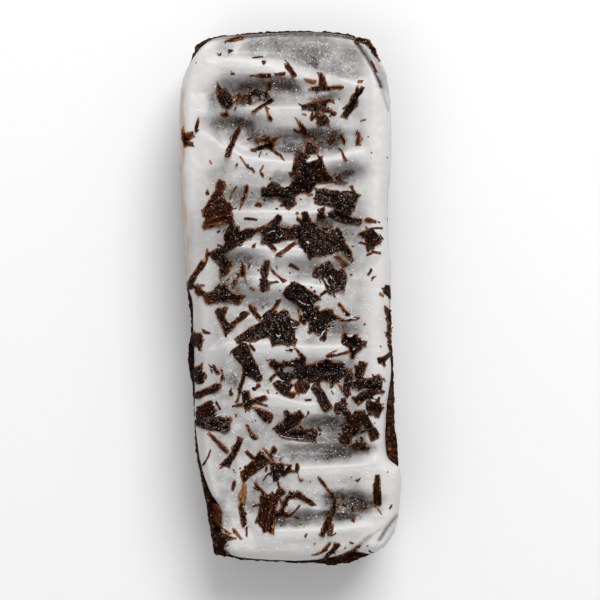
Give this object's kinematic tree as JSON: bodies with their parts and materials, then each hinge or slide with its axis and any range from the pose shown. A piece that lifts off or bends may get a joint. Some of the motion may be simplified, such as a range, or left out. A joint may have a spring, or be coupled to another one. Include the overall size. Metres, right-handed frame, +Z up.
{
  "type": "iced brownie bar",
  "caption": "Long bar of dark chocolate brownie covered with ridged white icing and strewn with dark chocolate shavings.",
  "frame": {"origin": "centre of the bar's footprint on the surface that it rests on", "axes": "+Z up, +Y along the bar towards its end with the creased corner, +X across it"},
  "size_m": [0.0512, 0.1242, 0.0289],
  "materials": {
    "chocolate_cake": "matt crumb",
    "white_icing": "soft satin icing with chocolate shavings"
  },
  "bodies": {
    "root": {"brownie": "chocolate_cake", "icing": "white_icing"}
  },
  "joints": []
}
